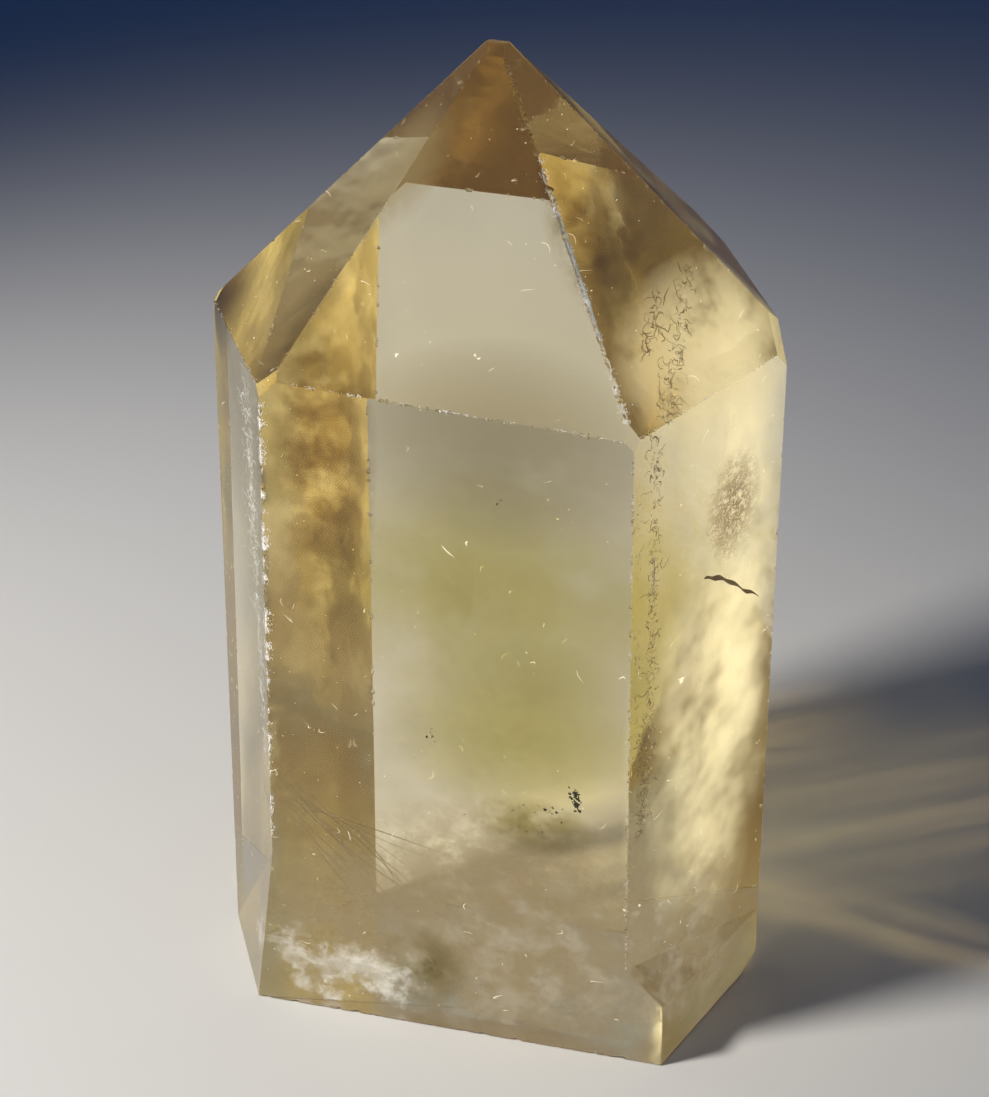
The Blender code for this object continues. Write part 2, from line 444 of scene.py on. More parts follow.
def citrine_material(settings):
    """Citrine, a heat-yellowed quartz, cut flat and polished by hand on a wheel.

    The near facets are clear as glass, with a slow wave. The far ones and the base are less well
    polished, which blurs what they mirror, and fresh breaks along the edges are matt.
    """
    material, tree = new_material("polished_citrine")
    coords = add_node(tree, "ShaderNodeTexCoord").outputs["Object"]
    split = add_node(tree, "ShaderNodeSeparateXYZ", {"Vector": coords})
    depth, height = {"Value": split.outputs["Y"]}, {"Value": split.outputs["Z"]}
    near, back = FAR_FROM * MM, FAR_TO * MM
    far = add_node(tree, "ShaderNodeMapRange", depth, span(near, back, 0.0, FAR_ROUGHNESS))
    low = add_node(tree, "ShaderNodeMapRange", height, span(0.05 * MM, 0.3 * MM, BASE_ROUGHNESS, 0.0))
    wear = add_node(tree, "ShaderNodeAttribute", attribute_name="fracture").outputs["Fac"]
    matt = add_node(tree, "ShaderNodeMath", {0: wear}, {1: BREAK_ROUGHNESS}, operation="MULTIPLY")
    rough = add_node(tree, "ShaderNodeMath", {0: far, 1: low}, operation="MAXIMUM")
    rough = add_node(tree, "ShaderNodeMath", {0: rough, 1: matt}, operation="MAXIMUM")
    wave = add_node(
        tree,
        "ShaderNodeTexNoise",
        {"Vector": coords},
        {"Scale": 1.0 / settings.wave_length, "Detail": 2.5, "Roughness": 0.5},
    )
    wave_depth = add_node(tree, "ShaderNodeMapRange", depth, span(near, back, NEAR_WAVE, FAR_WAVE))
    bump = add_node(
        tree, "ShaderNodeBump", {"Height": wave, "Strength": wave_depth}, {"Distance": WAVE_HEIGHT * MM}
    )
    # The sawn base is matt in patches, where it holds dust.
    dust = add_node(
        tree,
        "ShaderNodeTexNoise",
        {"Vector": coords},
        {"Scale": 1.0 / (DUST_PATCH * MM), "Detail": 5.0, "Roughness": 0.6},
    )
    dusty = add_node(tree, "ShaderNodeMapRange", {"Value": dust}, span(0.30, 0.70, *DUST_COVER))
    is_base = add_node(tree, "ShaderNodeMapRange", height, span(0.02 * MM, 0.1 * MM, 1.0, 0.0))
    covered = add_node(tree, "ShaderNodeMath", {0: dusty, 1: is_base}, operation="MULTIPLY")
    clear = add_node(tree, "ShaderNodeMath", {1: covered}, {0: 1.0}, operation="SUBTRACT")
    dust_colour = add_node(
        tree,
        "ShaderNodeMix",
        {"Factor": is_base},
        {MIX_A: WHITE, MIX_B: (*linear(DUST_COLOUR), 1.0)},
        data_type="RGBA",
    )
    glass = add_node(
        tree,
        "ShaderNodeBsdfPrincipled",
        {
            "Roughness": rough,
            "Normal": bump,
            "Transmission Weight": clear,
            "Base Color": dust_colour.outputs[MIX_OUT],
        },
        {"IOR": QUARTZ_IOR},
    )
    tint = add_node(
        tree,
        "ShaderNodeVolumeAbsorption",
        values={"Color": (*settings.tint, 1.0), "Density": settings.depth_of_tint},
    )
    add_node(tree, "ShaderNodeOutputMaterial", {"Surface": glass, "Volume": tint})
    return material


# How far the noise of a veil is lowered from its middle to its rim.
RIM_DROP = 0.14
# How much of a veil's colour its bubbles show by the light that falls on them.
BUBBLE_BODY = 0.35


def patches_and_fade(tree, grain_mm, detail, roughness):
    """Noise in patches of `grain_mm`, and the fade of a sheet towards its rim."""
    noise = add_node(
        tree,
        "ShaderNodeTexNoise",
        {"Vector": add_node(tree, "ShaderNodeTexCoord").outputs["Object"]},
        {"Scale": 1.0 / (grain_mm * MM), "Detail": detail, "Roughness": roughness},
    )
    return noise, add_node(tree, "ShaderNodeAttribute", attribute_name="fade").outputs["Fac"]


def veil_material(name, colour, glow, grain_mm, cover, low, high, detail=4.0):
    """A healed crack or cloud of tiny fluid bubbles: clear gaps between patches of fine pale grain.

    `cover` is the densest cover, `low` and `high` the noise levels between which it grows, and
    `grain_mm` the size of a patch. `glow` is painted light: an emission that stands in for the lamp's
    light that the bubbles scatter.
    """
    material, tree = new_material(name)
    noise, fade = patches_and_fade(tree, grain_mm, detail, 0.65)
    # The rim both thins out and loses its lower noise, so that it ends in tatters, not in an oval.
    lowered = add_node(
        tree, "ShaderNodeMath", {0: fade, 2: noise}, {1: RIM_DROP}, operation="MULTIPLY_ADD"
    )
    level = add_node(
        tree,
        "ShaderNodeMapRange",
        {"Value": lowered},
        span(low + RIM_DROP, high + RIM_DROP, 0.0, cover),
        interpolation_type="SMOOTHSTEP",
    )
    alpha = add_node(tree, "ShaderNodeMath", {0: level, 1: fade}, operation="MULTIPLY")
    # The emission is painted light: a glow in the veil's colour that stands in for the lamp's light on the
    # bubbles.
    grain = add_node(
        tree,
        "ShaderNodeBsdfPrincipled",
        {"Alpha": alpha},
        {
            "Base Color": (*[c * BUBBLE_BODY for c in colour], 1.0),
            "Roughness": 0.9,
            "Specular IOR Level": 0.0,
            "Emission Color": (*colour, 1.0),
            "Emission Strength": glow,
        },
    )
    add_node(tree, "ShaderNodeOutputMaterial", {"Surface": grain})
    return material


def zone_material(name, colour, grain_mm, low, high):
    """A growth zone: the stone's own colour, a little deeper. It only filters light."""
    material, tree = new_material(name)
    noise, fade = patches_and_fade(tree, grain_mm, 3.0, 0.55)
    level = add_node(
        tree,
        "ShaderNodeMapRange",
        {"Value": noise},
        span(low, high),
        interpolation_type="SMOOTHSTEP",
    )
    amount = add_node(tree, "ShaderNodeMath", {0: level, 1: fade}, operation="MULTIPLY")
    mix = add_node(
        tree,
        "ShaderNodeMix",
        {"Factor": amount},
        {MIX_A: WHITE, MIX_B: (*colour, 1.0)},
        data_type="RGBA",
    )
    clear = add_node(tree, "ShaderNodeBsdfTransparent", {"Color": mix.outputs[MIX_OUT]})
    add_node(tree, "ShaderNodeOutputMaterial", {"Surface": clear})
    return material


def grain_material(name, colour, glow, roughness=0.5):
    """Solid grains, flakes and threads sealed in the stone, or broken quartz dust on it. `glow` is painted
    light: an emission that stands in for the lamp's light on them.
    """
    material, tree = new_material(name)
    # The emission is painted light, not a glow that the grains have.
    grain = add_node(
        tree,
        "ShaderNodeBsdfPrincipled",
        values={
            "Base Color": (*colour, 1.0),
            "Roughness": roughness,
            "Specular IOR Level": 0.2,
            "Emission Color": (*colour, 1.0),
            "Emission Strength": glow,
        },
    )
    add_node(tree, "ShaderNodeOutputMaterial", {"Surface": grain})
    return material


# ---- worn edges and pits

# Edge, chips per mm, size against the set chip size, bite depth in mm, and the stretch that is worn.
WORN_EDGES = (
    ("point_front", "point_right", 3.4, 0.8, 0.14, (0.02, 0.99)),
    ("left", "front", 1.5, 0.9, 0.16, (0.25, 1.0)),
    ("front", "right", 1.0, 0.5, 0.09, (0.02, 1.0)),
    ("front", "point_front", 1.2, 0.45, 0.08, (0.0, 1.0)),
    ("right", "point_right", 1.0, 0.5, 0.09, (0.0, 1.0)),
    ("point_left", "point_front", 0.9, 0.45, 0.08, (0.0, 1.0)),
    ("left", "point_left", 0.9, 0.55, 0.10, (0.0, 1.0)),
    ("right", "back_right", 0.35, 0.6, 0.10, (0.1, 0.95)),
    ("back_right", "back", 0.35, 0.6, 0.10, (0.05, 0.95)),
    ("back", "back_left", 0.35, 0.7, 0.12, (0.05, 0.95)),
    ("back_left", "left", 0.4, 0.7, 0.12, (0.05, 0.95)),
    ("point_right", "point_back_right", 0.7, 0.6, 0.10, (0.05, 0.95)),
    ("point_back", "point_back_left", 0.7, 0.6, 0.10, (0.05, 0.95)),
    ("point_back_right", "point_back", 0.5, 0.6, 0.10, (0.05, 0.95)),
    ("point_back_left", "point_left", 0.6, 0.6, 0.10, (0.05, 0.95)),
    ("back_right", "point_back_right", 0.6, 0.6, 0.10, (0.05, 0.95)),
    ("back", "point_back", 0.6, 0.6, 0.10, (0.05, 0.95)),
    ("back_left", "point_back_left", 0.6, 0.6, 0.10, (0.05, 0.95)),
    ("base", "front", 0.8, 0.7, 0.12, (0.0, 1.0)),
    ("base", "left", 0.8, 0.7, 0.12, (0.0, 1.0)),
    ("base", "back", 0.5, 0.7, 0.12, (0.0, 1.0)),
)
# A chip's half-length, half-width and half-thickness: middle and spread of each one's logarithm.
CHIP_SPREADS = ((-0.85, 0.35), (-0.95, 0.30), (-1.15, 0.25))
# Widest lean of a chip across its edge and along it.
CHIP_LEANS = (0.55, 0.25)
# Scoops are cut in this many groups, and each has this raggedness, and so many rings and spokes.
GROUPS = 4
SCOOP = (0.16, 4, 7)

# Trails of etched pits: facet, and the (x, z) points that the trail runs through, pits per mm,
# spread to each side in mm, and pit radius in mm.
RIGHT_TRAIL = ((11.4, 59.8), (11.5, 50.0), (11.6, 40.0), (11.8, 30.0), (11.5, 23.0))
POINT_TRAIL = ((11.9, 60.6), (12.8, 64.0), (13.9, 68.0))
PIT_TRAILS = (
    ("right", RIGHT_TRAIL, 3.5, 0.55, 0.10),
    ("point_right", POINT_TRAIL, 4.0, 0.50, 0.10),
)
# A pit scoop's length, width and depth against its radius, how high its middle stands over the facet
# against its depth, and its widest turn.
PIT_SHAPE = (1.5, 0.9, 0.8)
PIT_STAND = 0.25
PIT_TURN = 0.6
# Crooked etched channels: facet, trail, channels per mm, spread, length and radius in mm.
CHANNEL_TRAILS = (
    ("right", RIGHT_TRAIL, 7.0, 0.62, 0.9, 0.030),
    ("right", ((11.2, 33.0), (11.2, 27.0), (11.3, 24.0)), 9.0, 0.40, 1.0, 0.032),
    ("right", ((10.3, 56.0), (10.5, 40.0), (10.6, 24.0)), 1.6, 0.30, 0.7, 0.024),
    ("point_right", POINT_TRAIL, 10.0, 0.65, 1.0, 0.032),
    ("point_right", ((10.6, 64.6), (11.2, 66.5), (11.8, 67.5)), 8.0, 0.70, 1.2, 0.036),
)
# Steps of a channel and of a scratch, and how much their heading wanders at each step.
CHANNEL_STEPS = 9
SCRATCH_STEPS = 12
WANDER = 0.75


def trail_points(facet, corners, pace, spread, rng):
    """Points scattered along a trail on a facet: even along it, and by a normal spread to its sides."""
    normal, _ = FACETS[facet]
    line = np.array([on_facet(facet, x, z) for x, z in corners])
    steps = np.linalg.norm(np.diff(line, axis=0), axis=1)
    run = np.concatenate([[0], np.cumsum(steps)])
    places = np.sort(rng.uniform(0, run[-1], int(run[-1] * pace)))
    points = np.stack([np.interp(places, run, line[:, k]) for k in range(3)], axis=1)
    up = unit(line[-1] - line[0])
    side = np.cross(normal, up)
    return points + side * rng.normal(0, spread * 0.5, len(points))[:, None], up


def squiggles(facet, starts, length, radius, rng, steps):
    """Crooked threads just under a facet: from each start, short steps whose heading wanders at random."""
    across, up = across_and_up(FACETS[facet][0])
    count = len(starts)
    heading = rng.uniform(0, math.tau, (count, 1)) + np.cumsum(rng.normal(0, WANDER, (count, steps)), axis=1)
    stride = (length / steps) * rng.lognormal(-0.1, 0.45, (count, 1))
    strides = (stride * np.cos(heading))[..., None] * across + (stride * np.sin(heading))[..., None] * up
    paths = np.asarray(starts)[:, None] + np.cumsum(strides, axis=1)
    return thread_tubes(keep_inside(paths, THREAD_DEPTH), radius * rng.lognormal(-0.1, 0.35, count))


def edge_scoops(rng):
    """Scoops that chip the edges: flattened lumps sunk into the edge by the bite depth."""
    mean = bpy.context.scene.citrine_stone.chip_size / MM
    scoops = []
    for first, second, pace, scale, bite, (start, stop) in WORN_EDGES:
        low, high = edge_ends(first, second)
        count = max(2, int(np.linalg.norm(high - low) * (stop - start) * pace))
        places = start + (stop - start) * np.sort(rng.uniform(0, 1, count))
        outward = unit(FACETS[first][0] + FACETS[second][0])
        along = unit(high - low)
        across = np.cross(outward, along)
        lean_across, lean_along = [rng.uniform(-lean, lean, count)[:, None] for lean in CHIP_LEANS]
        normal = unit(outward + lean_across * across + lean_along * along)
        first_axis = unit(along - normal * (normal @ along)[:, None])
        half = mean * scale * np.stack([rng.lognormal(*spread, count) for spread in CHIP_SPREADS], axis=1)
        depth = bite * rng.lognormal(0.0, 0.35, count)
        centre = low + (high - low) * places[:, None] + normal * (half[:, 2] - depth)[:, None]
        scoops.append((centre, np.stack([first_axis, np.cross(normal, first_axis), normal], axis=1), half))
    return [np.concatenate(column) for column in zip(*scoops)]


def pit_scoops(rng):
    """Scoops that etch the pit trails: small lumps, long ways up the facet, a little less than half
    of each sunk in it."""
    scoops = []
    for facet, corners, pace, spread, radius in PIT_TRAILS:
        normal, _ = FACETS[facet]
        centre, up = trail_points(facet, corners, pace, spread, rng)
        count = len(centre)
        half = radius * rng.lognormal(-0.2, 0.4, (count, 3)) * PIT_SHAPE
        axes = turned_axes(normal, up, rng.uniform(-PIT_TURN, PIT_TURN, count))
        scoops.append((centre + normal * (half[:, 2] * PIT_STAND)[:, None], axes, half))
    return [np.concatenate(column) for column in zip(*scoops)]


def carve(stone, centres, axes, sizes, rng):
    """Cut scoops out of the stone, a group at a time so that the scoops of a group stay apart."""
    order = np.lexsort((centres[:, 0], centres[:, 2]))
    for group in range(GROUPS):
        pick = order[group::GROUPS]
        cutter = new_object("scoops", *many_lumps(centres[pick], axes[pick], sizes[pick], rng, *SCOOP))
        cut = stone.modifiers.new("cut", "BOOLEAN")
        cut.operation = "DIFFERENCE"
        cut.solver = "MANIFOLD"
        cut.object = cutter
        graph = bpy.context.evaluated_depsgraph_get()
        carved = bpy.data.meshes.new_from_object(stone.evaluated_get(graph))
        stone.modifiers.clear()
        stone.data = carved
        bpy.data.objects.remove(cutter)


# A face lies on one of the stone's own planes if it is this close in mm to it and the cosine of the
# angle between them is above this.
ON_PLANE = 0.02
ON_ANGLE = 0.999
# Decimals to which planes are rounded before the same ones are merged. Fewer would shift a plane
# enough that its own facet seems broken.
PLANE_DECIMALS = 5


def mark_fractures(mesh):
    """Store 1 on every face that lies off all the stone's own planes, and 0 on the rest."""
    normals, centres, _ = face_planes(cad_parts[NODE].data)
    planes = np.c_[normals, np.sum(normals * centres, axis=1)]
    planes = np.unique(np.round(planes, PLANE_DECIMALS), axis=0)
    own_normals, own_centres, _ = face_planes(mesh)
    gap = abs(own_centres @ planes[:, :3].T - planes[:, 3])
    same = own_normals @ planes[:, :3].T > ON_ANGLE
    broken = ~np.any((gap < ON_PLANE) & same, axis=1)
    layer = mesh.attributes.new("fracture", "FLOAT", "FACE")
    layer.data.foreach_set("value", broken.astype(np.float32))
    return int(broken.sum())


class CITRINE_OT_stone(bpy.types.Operator):
    """Make the polished stone with its chipped edges and etched pits"""

    bl_idname = "citrine.stone"
    bl_label = "Polished stone"

    def execute(self, context):
        rng = np.random.default_rng(SEEDS["stone"])
        stone = bpy.data.objects.new("stone", clean_stone_mesh())
        context.scene.collection.objects.link(stone)
        carve(stone, *edge_scoops(rng), rng)
        carve(stone, *pit_scoops(rng), rng)
        if mark_fractures(stone.data) == 0:
            raise RuntimeError("the scoops cut nothing off the stone")
        stone.data.polygons.foreach_set("use_smooth", [False] * len(stone.data.polygons))
        stone.data.name = "stone"
        stone.data.materials.clear()
        stone.data.materials.append(citrine_material(context.scene.citrine_stone))
        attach(stone, BODY)
        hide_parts(NODE)
        return {"FINISHED"}


# ---- edge bruises

# Bruised edges: the edge, the stretch, flakes per mm, how far they lie from the edge in mm, size in mm.
BRUISES = (
    ("left", "front", (0.45, 1.0), 34.0, 0.50, 0.075),
    ("left", "front", (0.05, 0.50), 14.0, 0.30, 0.070),
    ("point_front", "point_right", (0.0, 0.75), 26.0, 0.45, 0.050),
    ("front", "right", (0.0, 1.0), 6.0, 0.25, 0.045),
    ("front", "point_front", (0.0, 1.0), 6.0, 0.15, 0.045),
    ("right", "point_right", (0.0, 1.0), 4.0, 0.15, 0.045),
    ("left", "point_left", (0.0, 1.0), 5.0, 0.20, 0.05),
)
# A flake's length, width and thickness against its size, and its widest turn.
BRUISE_SHAPE = (1.6, 0.7, 0.22)
BRUISE_TURN = 0.5
# Flakes are picked out of this many times as many places, the densest knots first, and a sum of sines
# of these paces and phases says how dense the knots are.
KNOT_CHOICE = 3
KNOT_SINES = ((41, 1.0), (97, 2.0), (17, 0.0))
# Raggedness, rings and spokes of a small flake.
FLAKE = (0.3, 2, 5)
# White stringy scratches beside the left edge: trail on the left facet as (x, z) points in mm,
# threads per mm, spread, length and radius in mm.
SCRATCH_TRAILS = (
    (((-18.6, 60.0), (-18.5, 48.0), (-18.4, 36.0), (-18.3, 26.0)), 9.0, 0.5, 1.1, 0.026),
    (((-18.9, 58.0), (-18.7, 50.0), (-18.6, 44.0)), 7.0, 1.1, 1.5, 0.026),
)


class CITRINE_OT_bruises(bpy.types.Operator):
    """Make the bruised flakes, the scratches and the etched channels under the edges and the right facets"""

    bl_idname = "citrine.bruises"
    bl_label = "Edge bruises"

    def execute(self, context):
        rng = np.random.default_rng(SEEDS["bruises"])
        meshes = []
        for first, second, (start, stop), flakes, reach, size in BRUISES:
            low, high = edge_ends(first, second)
            count = int(np.linalg.norm(high - low) * (stop - start) * flakes)
            # Flakes gather in knots: the places follow a noise of sines, not an even spread.
            places = rng.uniform(0, 1, count * KNOT_CHOICE)
            knots = sum(np.sin(places * pace + phase) for pace, phase in KNOT_SINES)
            places = places[np.argsort(-(knots + rng.normal(0, 1.0, len(places))))][:count]
            places = start + (stop - start) * places
            outward = unit(FACETS[first][0] + FACETS[second][0])
            along = unit(high - low)
            shift = rng.normal(0, reach * 0.5, count)
            centre = low + (high - low) * places[:, None] + np.cross(outward, along) * shift[:, None]
            half = size * rng.lognormal(-0.35, 0.5, (count, 3)) * BRUISE_SHAPE
            axes = turned_axes(outward, along, rng.uniform(-BRUISE_TURN, BRUISE_TURN, count))
            meshes.append(many_lumps(keep_inside(centre, FLAKE_DEPTH), axes, half, rng, *FLAKE))
        for corners, pace, spread, length, radius in SCRATCH_TRAILS:
            starts, _ = trail_points("left", corners, pace, spread, rng)
            meshes.append(squiggles("left", starts, length, radius, rng, SCRATCH_STEPS))
        points, faces = join_meshes(meshes)
        # Crushed quartz scatters light like snow, so it reads white; its faint glow is painted light.
        crushed = grain_material("crushed_quartz", linear("#f4f1ea"), 0.35)
        add_inclusion("edge_bruises", (keep_inside(points, SKIN), faces), crushed)

        meshes = []
        for facet, corners, pace, spread, length, radius in CHANNEL_TRAILS:
            starts, _ = trail_points(facet, corners, pace, spread, rng)
            meshes.append(squiggles(facet, starts, length, radius, rng, CHANNEL_STEPS))
        points, faces = join_meshes(meshes)
        # Iron stain has dried in the channels, so they are thin brown lines; their faint glow is painted
        # light.
        stained = grain_material("stained_channels", linear("#8a7040"), 0.32, 0.6)
        add_inclusion("etched_channels", (keep_inside(points, SKIN), faces), stained)
        return {"FINISHED"}


# ---- inclusions

# Sheets: centre (x, y, z), half width, half height in mm, compass angle the sheet looks to, tilt,
# and waviness in mm.
FOOT_CLOUDS = (
    ((-13.2, -8.3, 3.0), 5.8, 5.4, -103, 0, 0.9),
    ((-9.6, -8.6, 2.8), 5.5, 5.0, -100, 6, 1.0),
    ((-13.0, -9.0, 1.8), 6.0, 4.0, -103, 0, 0.5),
    ((-15.5, -6.0, 4.5), 4.0, 4.4, -130, 0, 1.0),
)
FOOT_WISPS = (
    ((4.0, -9.5, 10.0), 8.5, 7.0, -100, 5, 1.0),
    ((13.0, -11.0, 12.5), 3.2, 7.5, -50, 0, 0.6),
)
FOOT_HAZE = (
    ((1.5, -10.5, 6.5), 16.5, 13.0, -103, 0, 0.9),
    ((1.0, -6.0, 10.0), 15.0, 13.0, -103, 0, 1.0),
    ((16.0, -8.2, 6.0), 7.0, 10.0, -44, 0, 0.5),
    ((-11.5, -6.5, 8.0), 8.5, 9.5, -103, 0, 0.7),
)
FOOT_FLUFF = (
    ((-12.5, -9.6, 3.4), 6.5, 5.6, -103, 0, 0.5),
    ((3.0, -12.0, 7.5), 14.0, 12.5, -103, 0, 0.6),
    ((15.0, -10.2, 8.0), 6.0, 12.0, -46, 0, 0.5),
)
BODY_HAZE = (((-1.0, 0.0, 30.0), 13.0, 28.0, -103, 0, 1.5),)
COLOUR_ZONES = (
    ((1.0, -1.0, 40.0), 17.0, 12.0, -103, 0, 1.0),
    ((3.2, -4.0, 28.0), 12.0, 9.5, -103, 0, 0.8),
)
# High behind the front facet, and behind the left one.
GREY_ZONES = (
    ((0.5, -9.5, 56.5), 12.0, 9.0, -103, 0, 0.5),
    ((-19.4, -3.6, 55.0), 6.0, 11.0, -159, 0, 0.2),
)
# Close behind the right facet.
LIT_SHEETS = (
    ((17.5, -3.5, 42.0), 4.5, 26.0, -44, 0, 0.4),
    ((15.6, -6.1, 26.0), 7.5, 26.0, -44, 0, 0.6),
    ((18.2, -4.1, 32.0), 3.4, 11.0, -44, 0, 0.3),
)
# High behind the right facet, and low behind the right facet of the point.
EVEN_SHEETS = (((15.6, -5.6, 55.0), 5.5, 9.0, -44, 0, 0.2),)
POINT_GLOW = (((15.0, -5.6, 62.2), 10.0, 7.2, -44, 36, 0.3),)
# Behind the left facet of the point.
POINT_HAZE = (
    ((-13.0, -2.2, 67.5), 5.0, 9.5, -154, 38, 0.3),
    ((-6.5, -2.4, 75.0), 3.5, 6.0, -154, 38, 0.2),
)
# Under the right facet of the point, and behind the left of the front facet.
SMOKY_ZONES = (
    ((7.5, -4.0, 70.5), 5.5, 8.0, -44, 36, 0.6),
    ((6.2, -6.0, 71.2), 2.6, 8.0, -44, 36, 0.2),
    ((-13.2, -8.6, 53.0), 4.6, 19.0, -103, 0, 0.3),
    ((-12.8, -6.0, 55.0), 4.6, 14.0, -103, 0, 0.3),
)
# Round the largest green grains.
GREEN_STAIN = (
    ((3.4, -11.0, 21.8), 5.5, 3.0, -103, 0, 0.4),
    ((-5.5, -9.5, 5.0), 4.0, 4.5, -103, 0, 0.4),
)
# At the left of the point.
SMOKY_CORNER = (((-20.5, 1.4, 61.8), 4.4, 6.0, -154, 38, 0.0),)

# Pieces made of sheets, in the order of their random draws: piece, its sheets, and its material's
# name and colour, which is a hex value or a setting's name. Then a veil has its glow, which is
# painted light, patch size in mm, densest cover, lower and upper noise level and, where it isn't the
# usual one, its detail. A zone has only its patch size and its two noise levels.
SHEET_PIECES = (
    # Bubbles packed close in old cracks: white fluff.
    ("foot_clouds", FOOT_CLOUDS, "milky_fluid_cloud", "cloud_colour", 0.78, 2.6, 0.95, 0.42, 0.66),
    # The same, thinly spread.
    ("foot_wisps", FOOT_WISPS, "thin_fluid_wisp", "cloud_colour", 0.62, 3.0, 0.80, 0.50, 0.76),
    # Bubbles with a little silt: a brownish cloudy foot.
    ("foot_haze", FOOT_HAZE, "brown_bubble_haze", "#9c8a66", 0.80, 3.6, 0.92, 0.22, 0.52),
    ("foot_fluff", FOOT_FLUFF, "pale_bubble_haze", "#c9bda2", 0.62, 3.0, 0.72, 0.38, 0.66),
    # Bubbles too fine to see one by one: they take the shine off what lies behind, and add a faint painted
    # glow.
    ("body_haze", BODY_HAZE, "fine_bubble_haze", "#a8a183", 0.50, 11.0, 0.30, 0.30, 0.75),
    # Bands in which the crystal grew yellow-green.
    ("growth_zones", COLOUR_ZONES, "yellow_green_growth_zone", "zone_colour", 12.0, 0.14, 0.54),
    # Healed cracks turned to the lamp: the pale gold shine of their bubbles is painted light, a strong glow.
    ("lit_sheets", LIT_SHEETS, "lit_bubble_sheet", "#fdeebc", 1.08, 4.6, 0.80, 0.11, 0.70, 2.0),
    ("even_sheets", EVEN_SHEETS, "even_bubble_sheet", "#fbecc0", 0.92, 6.0, 0.62, 0.05, 0.50),
    ("point_glow", POINT_GLOW, "pale_bubble_sheet", "#f7e4ac", 0.88, 4.4, 0.80, 0.16, 0.54, 3.0),
    # One turned away from it: its glow is kept a dull olive, which is painted shade.
    ("point_haze", POINT_HAZE, "olive_bubble_haze", "#9c8757", 0.78, 7.0, 0.62, 0.10, 0.50),
    # Bands that grew with hardly any colour, with a smoky one, with chlorite dust, and the darkest.
    ("grey_zone", GREY_ZONES, "grey_growth_zone", "#d4cfc0", 9.0, 0.10, 0.50),
    ("smoky_zones", SMOKY_ZONES, "smoky_growth_zone", "#bdae80", 2.8, 0.28, 0.62),
    ("green_stain", GREEN_STAIN, "chlorite_stain", "#b3ab68", 3.5, 0.25, 0.60),
    ("smoky_corner", SMOKY_CORNER, "deep_smoky_growth_zone", "#5c4a28", 9.0, -0.4, 0.2),
)
ZONE_RECIPE = 3


def sheets_piece(name, sheets, rng, material):
    """One joined piece of several wavy sheets."""
    grids = [sheet_grid(*sheet, rng) for sheet in sheets]
    mesh = join_meshes([(points, faces) for points, faces, _ in grids])
    add_inclusion(name, mesh, material, {"fade": np.concatenate([fade for _, _, fade in grids])})


class CITRINE_OT_veils(bpy.types.Operator):
    """Make every sheet of bubbles, from the clouds at the foot to the lit ones, and every zone of colour"""

    bl_idname = "citrine.veils"
    bl_label = "Veils and colour zones"

    def execute(self, context):
        settings = context.scene.citrine_inclusions
        rng = np.random.default_rng(SEEDS["veils"])
        for piece, sheets, name, colour, *recipe in SHEET_PIECES:
            make = zone_material if len(recipe) == ZONE_RECIPE else veil_material
            shade = linear(colour) if colour.startswith("#") else getattr(settings, colour)
            sheets_piece(piece, sheets, rng, make(name, shade, *recipe))
        return {"FINISHED"}


# Needle fan: where it springs from and its scatter there, where its middle points and its scatter
# there, how far a needle sags, needles, points along each, and radius, in mm.
FAN_ROOT = (-15.6, -4.5, 20.3)
ROOT_SPREAD = 0.8
FAN_TARGET = (-6.5, -3.0, 10.5)
FAN_SPREAD = 2.6
NEEDLE_SAG = 0.6
FAN_NEEDLES = 16
NEEDLE_STEPS = 9
NEEDLE_RADIUS = 0.035


class CITRINE_OT_needles(bpy.types.Operator):
    """Make the fan of hair-fine needles near the foot"""

    bl_idname = "citrine.needles"
    bl_label = "Needle fan"

    def execute(self, context):
        rng = np.random.default_rng(SEEDS["needles"])
        starts = np.array(FAN_ROOT) + rng.normal(0, ROOT_SPREAD, (FAN_NEEDLES, 3))
        ends = np.array(FAN_TARGET) + rng.normal(0, FAN_SPREAD, (FAN_NEEDLES, 3))
        sag = rng.normal(0, NEEDLE_SAG, (FAN_NEEDLES, 1, 3))
        paths = keep_inside(bowed_paths(starts, ends - starts, sag, NEEDLE_STEPS), DEEP)
        mesh = thread_tubes(paths, NEEDLE_RADIUS * rng.lognormal(-0.2, 0.4, FAN_NEEDLES))
        # Fine mineral needles are brown; their silky sheen is painted light, a faint glow.
        add_inclusion("needle_fan", mesh, grain_material("silky_needles", linear("#b09d78"), 0.16))
        return {"FINISHED"}


# Green grain clusters: centre (x, y, z) and spread in mm, number of grains, grain size in mm.
GREEN_GRAINS = (
    ((6.8, -10.1, 24.4), (0.20, 0.3, 0.55), 34, 0.19),
    ((4.6, -9.0, 22.6), (1.2, 0.4, 0.4), 14, 0.12),
    ((-5.2, -7.4, 4.2), (0.9, 0.5, 0.5), 24, 0.17),
    ((-4.5, -7.4, 28.7), (0.2, 0.2, 0.35), 8, 0.10),
    ((0.5, -9.5, 52.2), (0.15, 0.2, 0.3), 6, 0.09),
    ((3.0, -9.0, 21.0), (2.0, 0.5, 0.8), 12, 0.08),
)
# Bright specks with places of their own: (x, y, z) and size in mm. Each is a few lumps close together.
BRIGHT_SPECKS = (
    ((-2.0, -9.9, 48.4), 0.13),
    ((-1.5, -8.4, 63.3), 0.14),
    ((-1.3, -8.2, 62.9), 0.10),
    ((-7.3, -7.5, 62.7), 0.12),
    ((12.6, -7.6, 34.0), 0.30),
    ((10.7, -13.0, 14.7), 0.16),
)
SPECK_SPREAD = (0.05, 0.05, 0.05)
SPECK_LUMPS = 3
# A clustered grain's raggedness, rings and spokes, and its length, width and thickness against its size.
GRAIN = (0.35, 2, 5)
GRAIN_SHAPE = (1.0, 0.8, 0.6)
